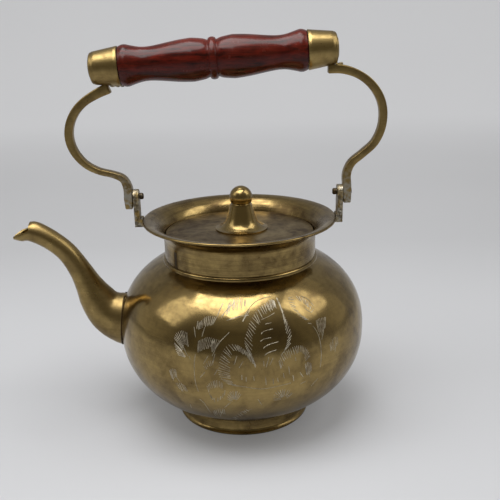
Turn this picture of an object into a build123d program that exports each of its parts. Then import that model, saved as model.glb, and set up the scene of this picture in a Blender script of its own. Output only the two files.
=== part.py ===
from build123d import *

import math
import os

# A small brass kettle-shaped teapot with a swinging wooden handle, in millimetres.
# +Z is up, the spout points along -X, and the origin is the centre of the foot on the table.

# Body, a round bulb of two halves spun from sheet and soldered at the widest circle
sheet = 1.2
bulb_radius = 63.0
bulb_middle_z = 48.2
bulb_rise = 43.7
bulb_drop = 45.7
bulb_upper_fullness = 2.35
bulb_lower_fullness = 2.16
mouth_ledge = 1.0

# Foot ring under the bulb
foot_radius = 34.7
foot_top_radius = 33.4
foot_height = 10.0
foot_lip = 0.6

# Collar, a rolled band with a flared rim
collar_radius = 38.2
collar_lip = 1.2
collar_lip_height = 1.8
rim_radius = 48.4
rim_z = 105.9
flare_height = 11.1
seam_width = 1.6
seam_depth = 0.25
seam_angle = 221.0

# Spout: height and width of its oval section at each station along its centre line
spout_wall = 1.1
spout_stations = [
    # x, z, climb in degrees, section height, section width
    (-56.0, 51.5, 3.0, 29.0, 25.0),
    (-63.5, 52.3, 8.0, 27.2, 23.5),
    (-71.0, 57.0, 35.0, 22.4, 20.0),
    (-76.0, 65.0, 57.0, 18.0, 16.5),
    (-79.3, 72.5, 64.0, 13.8, 13.6),
    (-83.0, 80.6, 60.0, 11.4, 11.6),
    (-88.6, 89.6, 49.0, 10.4, 10.6),
    (-96.6, 96.6, 34.0, 10.3, 10.4),
    (-105.0, 100.9, 18.0, 10.4, 10.6),
    (-110.2, 99.3, 2.0, 6.8, 8.4),
    (-114.3, 97.9, 2.0, 2.2, 3.0),
]
mouth_cut_x = -105.4
beak_root_z = 101.9
beak_bend_x = -110.5
beak_bend_z = 100.9
beak_tip_z = 97.9
beak_lip = 0.5
strainer_hole = 1.8
strainer_pitch = 6.2
strainer_lift = 3.2

# Lid, knob and the screw that holds the knob
lid_overlap = 0.2
lid_clearance = 0.3
lid_sheet = 1.0
lid_dome = 0.7
lid_edge_round = 0.4
skirt_clearance = 0.45
skirt_sheet = 0.8
skirt_height = 6.8
knob_offset_x = 1.1
knob_height = 21.6
knob_base_radius = 13.2
knob_base_edge = 0.6
knob_waist_radius = 5.2
knob_waist_height = 12.9
knob_groove = 0.4
knob_ball_radius = 5.7
knob_bell_radius = 7.4
knob_bell_height = 5.6
knob_bell_spread = 1.4
screw_radius = 1.5
screw_head_radius = 3.4
screw_head_height = 1.8
screw_depth = 8.0
washer_radius = 4.6
washer_thickness = 0.8

# Handle pivots
pivot_rise = 11.6
left_ear_gap = 1.1
right_ear_gap = 0.5
ear_thickness = 2.6
ear_width = 7.6
ear_above_pivot = 3.5
ear_crown = 4.5
ear_foot_drop = 3.3
ear_foot_reach = 4.4
pin_radius = 1.2
pin_running_gap = 0.05
pin_head_radius = 1.6
pin_head_length = 2.0
ear_gap = 0.3
solder_fillet = 0.5

# Arms, flat bars bent in the plane of the handle. Each station lies beside the straight line
# from the middle of the ferrule down to the pivot, at even steps: outward, up, thickness.
arm_width = 5.2
arm_edge = 0.7
tab_inner_gap = 4.3
left_arm_path = [
    (-1.2, -9.3, 5.0),
    (5.4, -7.0, 4.5),
    (12.7, -6.1, 4.0),
    (18.2, -6.1, 3.9),
    (21.8, -7.4, 3.9),
    (23.2, -9.1, 3.9),
    (22.0, -10.7, 3.6),
    (18.0, -11.8, 3.2),
    (12.5, -10.6, 2.9),
    (6.5, -7.7, 2.9),
    (2.2, -5.3, 3.5),
    (0.9, -5.4, 4.3),
    (1.5, -5.8, 4.4),
    (2.2, -6.1, 3.6),
]
right_arm_path = [
    (2.8, -8.9, 4.2),
    (8.5, -4.0, 4.0),
    (14.7, -1.0, 3.8),
    (20.0, 0.0, 3.8),
    (23.7, -0.9, 3.8),
    (25.1, -2.7, 3.7),
    (23.8, -5.5, 3.6),
    (19.8, -7.5, 3.5),
    (13.3, -7.5, 3.5),
    (7.2, -6.7, 3.6),
    (4.2, -6.9, 4.0),
    (3.5, -7.3, 4.2),
    (2.8, -6.7, 4.2),
    (2.0, -5.5, 3.6),
]

# Wooden grip and its metal ferrules, set out from the middle bead of the grip
grip_shift = -10.2
grip_rise = 64.6
grip_tilt = 3.3
grip_half_length = 43.6
bead_half_width = 1.9
bead_cove = 0.5
bead_radius = 9.6
groove_radius = 8.5
bulge_place = 11.0
bulge_radius = 9.8
waist_place = 30.0
waist_radius = 7.7
flange_place = 40.6
flange_radius = 9.5
flange_end_radius = 8.9
tenon_radius = 5.6
tenon_length = 10.0
ferrule_gap = 0.5
ferrule_length = 13.6
ferrule_mouth_radius = 9.1
ferrule_end_radius = 7.3
ferrule_sheet = 0.9
ferrule_corner = 1.6
cap_radius = 5.0
cap_proud = 0.5
cap_thickness = 1.6

# What follows from the sizes above
bore_radius = collar_radius - sheet
mouth_radius = bore_radius - mouth_ledge
flare_z = rim_z - flare_height
strainer_z = bulb_middle_z + strainer_lift
lid_radius = bore_radius + lid_overlap
skirt_outer = bore_radius - skirt_clearance
skirt_inner = skirt_outer - skirt_sheet
pivot_z = rim_z + pivot_rise
left_ear_x = -(rim_radius + left_ear_gap)
right_ear_x = rim_radius + right_ear_gap
ear_top_z = pivot_z + ear_above_pivot
ear_foot_z = rim_z - ear_foot_drop


grip_place = Pos(grip_shift, 0, pivot_z + grip_rise) * Rot(0, 90 - grip_tilt, 0)


def turned(outline):
    """A solid turned about Z from a closed outline drawn in the X-Z plane."""
    return revolve(make_face(outline), Axis.Z)


def bulb_point(angle, inset):
    """Point (radius, height) of the bulb's section, at an angle above its widest circle."""
    rising = angle > 0
    fullness = bulb_upper_fullness if rising else bulb_lower_fullness
    reach = (bulb_rise if rising else bulb_drop) - inset
    across = (bulb_radius - inset) * max(math.cos(angle), 0) ** (2 / fullness)
    return across, bulb_middle_z + math.copysign(reach * abs(math.sin(angle)) ** (2 / fullness), angle)


def bulb_solid(inset):
    """The whole bulb as a closed solid, with its surface moved in by the inset."""
    steps = 9
    lower = [bulb_point(-math.pi / 2 * (1 - i / steps) ** 1.2, inset) for i in range(steps)]
    upper = [bulb_point(math.pi / 2 * (i / steps) ** 1.2, inset) for i in range(1, steps + 1)]
    widest = (bulb_radius - inset, bulb_middle_z)
    below = Spline([(x, 0, z) for x, z in lower] + [(widest[0], 0, widest[1])],
                   tangents=[(1, 0, 0), (0, 0, 1)])
    above = Spline([(widest[0], 0, widest[1])] + [(x, 0, z) for x, z in upper],
                   tangents=[(0, 0, 1), (-1, 0, 0)])
    return turned(below + above + Line(above @ 1, below @ 0))


def bulb_height_at(radius):
    """Height of the bulb's shoulder at a distance from the axis."""
    share = (radius / bulb_radius) ** bulb_upper_fullness
    return bulb_middle_z + bulb_rise * (1 - share) ** (1 / bulb_upper_fullness)


def bulb_shell():
    """The bulb as a thin shell with an open mouth and strainer holes behind the spout."""
    shell = bulb_solid(0) - bulb_solid(sheet)
    shell -= Pos(0, 0, bulb_middle_z + bulb_rise) * Cylinder(mouth_radius, bulb_rise)
    drill = Rot(0, -90, 0) * extrude(Circle(strainer_hole), bulb_radius + sheet)
    holes = [Pos(0, 0, strainer_z) * drill]
    for i in range(6):
        turn = math.radians(60 * i)
        across, up = strainer_pitch * math.cos(turn), strainer_pitch * math.sin(turn)
        holes.append(Pos(0, across, strainer_z + up) * drill)
    return shell - holes


def bulb_half(shell, keep):
    """Half of the bulb's shell above or below its widest circle, where the halves are soldered."""
    return split(shell, bisect_by=Plane.XY.offset(bulb_middle_z), keep=keep)


def foot_ring():
    """Spun ring soldered under the bulb, a little wider where it meets the table."""
    inner = foot_radius - sheet
    outline = Polyline(
        (inner, 0, 0), (foot_radius - foot_lip, 0, 0), (foot_radius, 0, foot_lip),
        (foot_radius, 0, 2 * foot_lip), (foot_top_radius, 0, 4 * foot_lip),
        (foot_top_radius, 0, foot_height), (foot_top_radius - sheet, 0, foot_height),
        (foot_top_radius - sheet, 0, 4 * foot_lip), (inner, 0, 2 * foot_lip), close=True)
    return turned(outline) - bulb_solid(0)


def flare_arc(inset):
    """Quarter ellipse of the flared rim, from the collar's wall out to the rim's edge."""
    centre = (rim_radius - sheet / 2, 0, flare_z)
    width = centre[0] - bore_radius - inset
    height = rim_z - flare_z - inset
    return centre, width, height


def flare_height_at(radius):
    """Height of the flare's upper surface at a distance from the axis."""
    centre, width, height = flare_arc(0)
    return flare_z + height * math.sqrt(1 - ((centre[0] - radius) / width) ** 2)


def neck_collar():
    """Rolled band on the bulb's shoulder, with a bottom lip, a seam and a flared rim."""
    centre, width, height = flare_arc(0)
    under_width, under_height = flare_arc(sheet)[1:]
    flare_plane = Plane(origin=centre, x_dir=(1, 0, 0), z_dir=(0, -1, 0))
    upper = flare_plane * EllipticalCenterArc((0, 0), width, height, start_angle=90, arc_size=90)
    under = flare_plane * EllipticalCenterArc(
        (0, 0), under_width, under_height, start_angle=90, arc_size=90)
    edge = ThreePointArc((centre[0], 0, rim_z), (rim_radius, 0, rim_z - sheet / 2),
                         (centre[0], 0, rim_z - sheet))
    low_z = bulb_height_at(collar_radius + collar_lip) - sheet
    lip_top = bulb_height_at(collar_radius + collar_lip) + collar_lip_height
    lip_outside = ThreePointArc(
        (collar_radius, 0, lip_top),
        (collar_radius + collar_lip * 0.9, 0, lip_top - collar_lip * 0.9),
        (collar_radius + collar_lip, 0, low_z))
    wall = Line((collar_radius, 0, flare_z), (collar_radius, 0, lip_top))
    bottom = Line((collar_radius + collar_lip, 0, low_z), (bore_radius, 0, low_z))
    inside = Line((bore_radius, 0, low_z), (bore_radius, 0, flare_z))
    collar = turned(upper + edge + under + wall + lip_outside + bottom + inside)
    collar -= bulb_solid(0)
    seam = Pos(collar_radius, 0, 0) * Box(2 * seam_depth, seam_width, 2 * flare_z)
    return collar - Rot(0, 0, seam_angle) * seam


def spout_section(station, inset):
    """Oval section of the spout, square to its centre line."""
    x, z, climb, high, wide = station
    slope = math.radians(climb)
    plane = Plane(origin=(x, 0, z), x_dir=(0, 1, 0), z_dir=(-math.cos(slope), 0, math.sin(slope)))
    return plane * Ellipse(wide / 2 - inset, high / 2 - inset)


def spout():
    """Hollow spout that rises from the bulb in an S and ends in an open beak, hollow to its tip."""
    skin = loft([spout_section(station, 0) for station in spout_stations])
    channel = loft([spout_section(station, spout_wall) for station in spout_stations[:-1]]
                   + [spout_section(spout_stations[-1], beak_lip)])
    tip_x = spout_stations[-1][0]
    above = spout_stations[0][3]
    beak_line = Spline(
        (mouth_cut_x, 0, beak_root_z), (beak_bend_x, 0, beak_bend_z), (tip_x - 1, 0, beak_tip_z))
    above_beak = make_face(beak_line + Polyline(
        beak_line @ 1, (tip_x - 1, 0, beak_root_z + above), (mouth_cut_x, 0, beak_root_z + above),
        beak_line @ 0))
    opening = extrude(above_beak, spout_stations[0][4], both=True)
    return skin - channel - bulb_solid(0) - opening


lid_edge_z = flare_height_at(lid_radius + lid_clearance)
lid_crown_z = lid_edge_z + lid_sheet + lid_dome
knob_axis = Pos(knob_offset_x, 0, 0)


def lid_plate():
    """Thin lid, slightly domed, whose edge rests in the flare of the collar."""
    edge = lid_edge_round
    crown = lid_crown_z
    halfway = 0.5
    top = ThreePointArc(
        (0, 0, crown), (lid_radius * halfway, 0, crown - lid_dome * halfway ** 2),
        (lid_radius - edge, 0, lid_edge_z + lid_sheet))
    round_edge = Line(top @ 1, (lid_radius, 0, lid_edge_z + edge)) + Line(
        (lid_radius, 0, lid_edge_z + edge), (lid_radius - edge / 2, 0, lid_edge_z))
    flat_under = Line((lid_radius - edge / 2, 0, lid_edge_z), (skirt_inner, 0, lid_edge_z))
    under = ThreePointArc(
        (skirt_inner, 0, lid_edge_z), (skirt_inner * halfway, 0, lid_edge_z + lid_dome * (1 - halfway ** 2)),
        (0, 0, lid_edge_z + lid_dome))
    plate = turned(top + round_edge + flat_under + under + Line((0, 0, lid_edge_z + lid_dome), top @ 0))
    return plate - knob_axis * Pos(0, 0, crown) * Cylinder(screw_radius + pin_running_gap, 4 * lid_sheet)


def lid_skirt():
    """Band under the lid that keeps it centred in the collar."""
    band = Circle(skirt_outer) - Circle(skirt_inner)
    skirt = Pos(0, 0, lid_edge_z - skirt_height) * extrude(band, skirt_height)
    lowest = skirt.edges().filter_by(GeomType.CIRCLE).group_by(Axis.Z)[0]
    return chamfer(lowest, skirt_sheet / 4)


def lid_knob():
    """Turned knob: a round top on a groove, over a bell that spreads to a thin base."""
    base_z = lid_crown_z
    waist_z = base_z + knob_waist_height
    top_z = base_z + knob_height
    groove = knob_groove
    ball_middle = top_z - knob_ball_radius
    bell = Spline(
        (knob_base_radius, 0, base_z + knob_base_edge),
        (knob_bell_radius + knob_bell_spread, 0, base_z + knob_bell_height / 2),
        (knob_bell_radius, 0, base_z + knob_bell_height),
        (knob_waist_radius + groove / 2, 0, waist_z - groove),
        tangents=[(-1, 0, 0.15), (-0.1, 0, 1)])
    neck = Polyline(bell @ 1, (knob_waist_radius - groove, 0, waist_z - groove / 2),
                    (knob_waist_radius - groove, 0, waist_z + groove / 2))
    ball_foot = math.sqrt(knob_ball_radius ** 2 - (ball_middle - waist_z - groove) ** 2)
    ball = ThreePointArc(
        (ball_foot, 0, waist_z + groove), (knob_ball_radius, 0, ball_middle), (0, 0, top_z))
    shoulder = Line(neck @ 1, ball @ 0)
    base = Polyline((0, 0, top_z), (0, 0, base_z - lid_dome), (knob_base_radius, 0, base_z - lid_dome),
                    (knob_base_radius, 0, base_z + knob_base_edge))
    knob = knob_axis * turned(bell + neck + shoulder + ball + base)
    hole = Pos(0, 0, base_z - lid_dome) * extrude(Circle(screw_radius), screw_depth + lid_dome)
    return knob - knob_axis * hole - lid_plate()


def knob_washer():
    """Flat washer between the lid and the head of the knob's screw."""
    low_z = lid_edge_z + lid_dome - washer_thickness
    ring = Circle(washer_radius) - Circle(screw_radius + pin_running_gap)
    return knob_axis * Pos(0, 0, low_z) * extrude(ring, washer_thickness) - lid_plate()


def knob_screw():
    """Round-headed screw that holds the knob from under the lid."""
    washer_low = lid_edge_z + lid_dome - washer_thickness
    shank_top = lid_crown_z + screw_depth
    shank = Pos(0, 0, washer_low) * extrude(Circle(screw_radius), shank_top - washer_low)
    head = Pos(0, 0, washer_low - screw_head_height) * extrude(Circle(screw_head_radius), screw_head_height)
    lower_edge = head.edges().group_by(Axis.Z)[0]
    return knob_axis * (fillet(lower_edge, screw_head_height / 2) + shank)


def ear_lug(side, inner_x):
    """Bracket soldered under the rim, with an upright ear that holds a pivot pin."""
    outer_x = inner_x + side * ear_thickness
    ear_profile = Plane.YZ * make_face(
        Polyline((-ear_width / 2, ear_foot_z), (ear_width / 2, ear_foot_z),
                 (ear_width / 2, ear_top_z - ear_crown))
        + ThreePointArc((ear_width / 2, ear_top_z - ear_crown), (0, ear_top_z),
                        (-ear_width / 2, ear_top_z - ear_crown))
        + Line((-ear_width / 2, ear_top_z - ear_crown), (-ear_width / 2, ear_foot_z)))
    ear = Pos(min(inner_x, outer_x), 0, 0) * extrude(ear_profile, ear_thickness)
    foot_inner = inner_x - side * ear_foot_reach
    foot_middle = (foot_inner + outer_x) / 2
    foot_high = rim_z - ear_foot_z + solder_fillet
    foot = Pos(foot_middle, 0, ear_foot_z + foot_high / 2) * Box(
        abs(outer_x - foot_inner), ear_width, foot_high)
    lug = ear + foot
    over_rim = Pos(0, 0, rim_z - sheet / 2) * Cylinder(
        rim_radius, 4 * ear_width, align=(Align.CENTER, Align.CENTER, Align.MIN))
    hole = Pos(inner_x, 0, pivot_z) * Rot(0, 90, 0) * Cylinder(
        pin_radius + pin_running_gap, 4 * ear_thickness)
    return lug - over_rim - neck_collar_filled() - hole


def neck_collar_filled():
    """Everything above and inside the flare, so that a bracket can hug its underside."""
    under_centre, under_width, under_height = flare_arc(sheet)
    flare_plane = Plane(origin=under_centre, x_dir=(1, 0, 0), z_dir=(0, -1, 0))
    under = flare_plane * EllipticalCenterArc(
        (0, 0), under_width, under_height, start_angle=90, arc_size=90)
    edge = ThreePointArc((under_centre[0], 0, rim_z), (rim_radius, 0, rim_z - sheet / 2),
                         (under_centre[0], 0, rim_z - sheet))
    side = Polyline((collar_radius, 0, flare_z), (0, 0, flare_z), (0, 0, rim_z),
                    (under_centre[0], 0, rim_z))
    return turned(edge + under + side)


def tab_inner_x(side, inner_x):
    """Place of the arm's flat inner face, just outside the ear."""
    return inner_x + side * (ear_thickness + ear_gap)


def pivot_pin(side, inner_x):
    """Rivet along X: a round head inside the ear and a shank through the arm's end."""
    head_inner = inner_x - side * ear_gap
    shank_end = tab_inner_x(side, inner_x) + side * tab_inner_gap
    along = Pos(head_inner, 0, pivot_z) * Rot(0, 90 * side, 0)
    shank = along * extrude(Circle(pin_radius), abs(shank_end - head_inner))
    head = along * Rot(0, 180, 0) * extrude(Circle(pin_head_radius), pin_head_length)
    far_edge = head.edges().sort_by(Axis.X)[0 if side > 0 else -1]
    return shank + fillet(far_edge, pin_head_radius / 2)


def arm_path(side, inner_x, stations):
    """Stations of an arm in the plane of the handle, set out from its ferrule and its pivot."""
    top = (grip_place * Pos(0, 0, side * (grip_half_length + ferrule_gap + ferrule_length / 2))).position
    foot_x = tab_inner_x(side, inner_x)
    last = len(stations) - 1
    path = []
    for i, (outward, up, thick) in enumerate(stations):
        down = i / last
        path.append((top.X + (foot_x - top.X) * down + side * outward,
                     top.Z + (pivot_z - top.Z) * down + up, thick))
    return path


def bar_face(path):
    """Outline of a bent bar: the two edges lie half a thickness to each side of its path."""
    left, right = [], []
    last = len(path) - 1
    for i, (x, z, thick) in enumerate(path):
        before, after = path[max(i - 1, 0)], path[min(i + 1, last)]
        run_x, run_z = after[0] - before[0], after[1] - before[1]
        run = math.hypot(run_x, run_z)
        out_x, out_z = -run_z / run * thick / 2, run_x / run * thick / 2
        left.append((x + out_x, 0, z + out_z))
        right.append((x - out_x, 0, z - out_z))
    left_edge, right_edge = Spline(left), Spline(right)
    return make_face(left_edge + right_edge + Line(left[0], right[0]) + Line(left[-1], right[-1]))


def arm(side, inner_x, stations, ferrule_shape):
    """Bent bar from a ferrule's underside down to the tab that turns on the pivot pin."""
    bar = extrude(bar_face(arm_path(side, inner_x, stations)), arm_width / 2, both=True)
    bar = fillet(bar.edges().filter_by(GeomType.BSPLINE), arm_edge)
    face_x = tab_inner_x(side, inner_x)
    beside_ear = Pos(face_x - side * ear_width / 2, 0, pivot_z - ear_width / 2) * Box(
        ear_width, 4 * arm_width, 3 * ear_width)
    hole = Pos(face_x, 0, pivot_z) * Rot(0, 90, 0) * Cylinder(pin_radius, 8 * ear_thickness)
    return bar - beside_ear - hole - ferrule_shape


def wooden_grip():
    """Turned grip with a middle bead, two swelling halves, end flanges and hidden tenons."""
    half = Spline(
        (groove_radius, 0, bead_half_width + bead_cove), (bulge_radius, 0, bulge_place),
        (waist_radius, 0, waist_place), (flange_radius, 0, flange_place),
        (flange_end_radius, 0, grip_half_length),
        tangents=[(0.5, 0, 1), (-1, 0, 1)])
    bead = ThreePointArc(
        (groove_radius, 0, -bead_half_width), (bead_radius, 0, 0), (groove_radius, 0, bead_half_width))
    cove = Line((groove_radius, 0, bead_half_width), half @ 0)
    tenon_end = grip_half_length + tenon_length
    shoulder = Polyline(half @ 1, (tenon_radius, 0, grip_half_length), (tenon_radius, 0, tenon_end),
                        (0, 0, tenon_end))
    upper = half + cove + shoulder
    lower = mirror(upper, about=Plane.XY)
    axis_line = Line((0, 0, -tenon_end), (0, 0, tenon_end))
    return grip_place * turned(upper + lower + bead + axis_line)


def ferrule_outline_solid():
    """The ferrule as a closed tapering plug with a rounded outer corner."""
    plug = Pos(0, 0, ferrule_length / 2) * Cone(ferrule_mouth_radius, ferrule_end_radius, ferrule_length)
    outer_corner = plug.edges().group_by(Axis.Z)[-1]
    return fillet(outer_corner, ferrule_corner)


def ferrule_at(end):
    """Place of a ferrule: its mouth beside the flange at one end of the grip."""
    turn = Rot(0, 0, 0) if end > 0 else Rot(180, 0, 0)
    return grip_place * turn * Pos(0, 0, grip_half_length + ferrule_gap)


def ferrule():
    """Tapered metal cup with the tenon inside and a round hole in its end."""
    cup = ferrule_outline_solid()
    hollow_length = ferrule_length - ferrule_sheet
    hollow = Pos(0, 0, hollow_length / 2) * Cone(
        ferrule_mouth_radius - ferrule_sheet, ferrule_end_radius - 1.2 * ferrule_sheet, hollow_length)
    return cup - hollow - Pos(0, 0, ferrule_length) * Cylinder(cap_radius, 4 * ferrule_sheet)


def ferrule_cap():
    """Disc that closes the ferrule's end and stands a little proud of it."""
    low = ferrule_length + cap_proud - cap_thickness
    disc = Pos(0, 0, low) * extrude(Circle(cap_radius), cap_thickness)
    return fillet(disc.edges().group_by(Axis.Z)[-1], cap_proud * 0.8)


def build():
    """Every piece of the teapot under its own name."""
    shell = bulb_shell()
    pieces = {
        "bulb_upper": bulb_half(shell, Keep.TOP),
        "bulb_lower": bulb_half(shell, Keep.BOTTOM),
        "foot_ring": foot_ring(),
        "neck_collar": neck_collar(),
        "spout": spout(),
        "lid_plate": lid_plate(),
        "lid_skirt": lid_skirt(),
        "lid_knob": lid_knob(),
        "knob_washer": knob_washer(),
        "knob_screw": knob_screw(),
        "wooden_grip": wooden_grip(),
    }
    for name, side, inner_x, stations in (
            ("left", -1, left_ear_x, left_arm_path), ("right", 1, right_ear_x, right_arm_path)):
        place = ferrule_at(side)
        pieces[name + "_lug"] = ear_lug(side, inner_x)
        pieces[name + "_pivot_pin"] = pivot_pin(side, inner_x)
        pieces[name + "_arm"] = arm(side, inner_x, stations, place * ferrule_outline_solid())
        pieces[name + "_ferrule"] = place * ferrule()
        pieces[name + "_ferrule_cap"] = place * ferrule_cap()
    return pieces


os.makedirs("parts", exist_ok=True)
for piece_name, piece in build().items():
    export_step(piece, "parts/" + piece_name + ".step")
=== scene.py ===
"""Small engraved brass teapot with a swinging wooden handle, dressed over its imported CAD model."""
import math
import random

import bpy
from mathutils import Matrix, Vector


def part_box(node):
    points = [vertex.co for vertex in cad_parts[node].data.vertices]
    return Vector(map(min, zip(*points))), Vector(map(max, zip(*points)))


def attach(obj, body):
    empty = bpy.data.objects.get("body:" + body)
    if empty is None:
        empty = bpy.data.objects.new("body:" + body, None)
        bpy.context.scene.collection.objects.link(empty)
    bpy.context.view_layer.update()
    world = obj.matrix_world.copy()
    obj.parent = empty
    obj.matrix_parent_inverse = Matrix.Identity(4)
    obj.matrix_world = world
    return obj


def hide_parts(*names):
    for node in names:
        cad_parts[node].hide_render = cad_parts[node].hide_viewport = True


bl_info = {
    "name": "Engraved Brass Teapot",
    "version": (1, 0, 0),
    "blender": (4, 5, 0),
    "location": "View3D > Sidebar > Teapot",
    "description": "Models an engraved brass teapot with a turned wooden handle, piece by piece",
    "category": "Add Mesh",
}

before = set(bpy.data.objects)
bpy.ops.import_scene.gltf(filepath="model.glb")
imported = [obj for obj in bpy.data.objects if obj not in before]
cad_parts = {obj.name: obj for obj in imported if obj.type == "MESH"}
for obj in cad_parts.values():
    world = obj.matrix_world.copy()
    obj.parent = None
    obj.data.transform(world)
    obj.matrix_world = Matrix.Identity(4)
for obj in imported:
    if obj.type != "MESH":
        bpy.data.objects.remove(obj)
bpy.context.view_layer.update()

MM = 0.001
FULL_TURN = 2 * math.pi
QUARTER_TURN = math.pi / 2


def box_mm(node):
    """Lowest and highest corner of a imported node, in millimetres."""
    low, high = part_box(node)
    return low / MM, high / MM


BULB_LOW, BULB_HIGH = box_mm("bulb_lower")
COLLAR_HIGH = box_mm("neck_collar")[1]
LID_LOW, LID_HIGH = box_mm("lid_plate")
KNOB_LOW, KNOB_HIGH = box_mm("lid_knob")
FOOT_HIGH = box_mm("foot_ring")[1]

# Where the pieces sit, in millimetres and degrees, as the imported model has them
BULB_RISE = 43.7
BULB_DROP = BULB_HIGH.z - BULB_LOW.z
BULB_MIDDLE = BULB_HIGH.z
UPPER_FULLNESS = 2.35
LOWER_FULLNESS = 2.16
FLARE_Z = 94.8
KNOB_X = (KNOB_LOW.x + KNOB_HIGH.x) / 2
GRIP_PLACE = Matrix.Translation(Vector((-10.2, 0, 182.1)) * MM) @ Matrix.Rotation(
    math.radians(90 - 3.3), 4, "Y")
GRIP_HALF = 43.6
FERRULE_START = 44.1
FERRULE_LENGTH = 13.6
TENON_END, TENON_RADIUS = 53.0, 5.6
SPOUT_SHEET = 1.0
SPOUT_ROOT_STATIONS = 11
SEAM_TURN, SEAM_MIDDLE = 215.5, 85.0
SEAM_THICK, SEAM_WIDE, SEAM_HIGH = 0.4, 2.2, 9.6
# Solder beads on a bar: how far along, across and up from their middle
BAR_BEADS = ((-2.0, 0.2, -0.1), (0.1, -1.4, 0.1), (0.4, 1.5, 0.1), (2.1, -0.3, 0.0))
# How far a cut stands out of the bulb, so that it shows
ENGRAVING_LIFT = 0.06

# The stage, in metres: the paper, the soft boxes (place, size and watts) and the fitted camera,
# which has its roll in degrees and its lens in millimetres
PAPER_SIZE, PAPER_MIDDLE, PAPER_GAP = (5, 2.6), -0.4, 0.0002
PAPER_EDGE, PAPER_BEND, PAPER_RISE = 0.8, 0.4, 1.4
SOFTBOXES = {
    "overhead_softbox": ((-0.08, -0.09, 0.66), (0.46, 0.5), 3.8),
    "right_softbox": ((0.58, -0.05, 0.64), (0.42, 0.5), 1.5),
    "left_softbox": ((-0.66, -0.1, 0.62), (0.4, 0.5), 1.0),
}
SOFTBOX_AIM = Vector((0, 0, 0.08))
CAMERA_PLACE, CAMERA_AIM = Vector((0, -0.3662, 0.2043)), Vector((0, 0, 0.063))
CAMERA_ROLL = -1.46
CAMERA_LENS, CAMERA_SENSOR = 54.0, 36.0
CAMERA_SHIFT = (0.0176, 0.0916)

# The spout's oval at each station: x, z, climb in degrees, height, width
SPOUT = [
    (-56.0, 51.5, 3.0, 29.0, 25.0),
    (-63.5, 52.3, 8.0, 27.2, 23.5),
    (-71.0, 57.0, 35.0, 22.4, 20.0),
    (-76.0, 65.0, 57.0, 18.0, 16.5),
    (-79.3, 72.5, 64.0, 13.8, 13.6),
    (-83.0, 80.6, 60.0, 11.4, 11.6),
    (-88.6, 89.6, 49.0, 10.4, 10.6),
    (-96.6, 96.6, 34.0, 10.3, 10.4),
    (-105.0, 100.9, 18.0, 10.4, 10.6),
    (-110.2, 99.3, 2.0, 6.8, 8.4),
    (-114.3, 97.9, 2.0, 2.2, 3.0),
]
BEAK_LINE = [(-105.4, 101.9), (-110.5, 100.9), (-116.0, 97.5)]

# The bent bars of the handle: x, z and thickness at each station
LEFT_ARM = [
    (-59.8, 169.9, 5.0), (-65.8, 167.4, 4.5), (-72.4, 163.6, 4.0), (-77.2, 158.8, 3.9),
    (-80.2, 152.8, 3.9), (-80.9, 146.4, 3.9), (-79.0, 140.0, 3.6), (-74.4, 134.2, 3.2),
    (-68.2, 130.6, 2.9), (-61.6, 128.8, 2.9), (-56.6, 126.4, 3.5), (-54.6, 121.6, 4.3),
    (-54.6, 116.4, 4.4), (-54.6, 111.4, 3.6),
]
RIGHT_ARM = [
    (43.4, 176.1, 4.2), (50.0, 175.8, 4.0), (57.0, 173.6, 3.8), (63.2, 169.4, 3.8),
    (67.8, 163.4, 3.8), (70.0, 156.4, 3.7), (69.6, 148.4, 3.6), (66.4, 141.2, 3.5),
    (60.8, 136.0, 3.5), (55.6, 131.6, 3.6), (53.4, 126.2, 4.0), (53.6, 120.6, 4.2),
    (53.7, 116.0, 4.2), (53.8, 112.0, 3.6),
]

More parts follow.
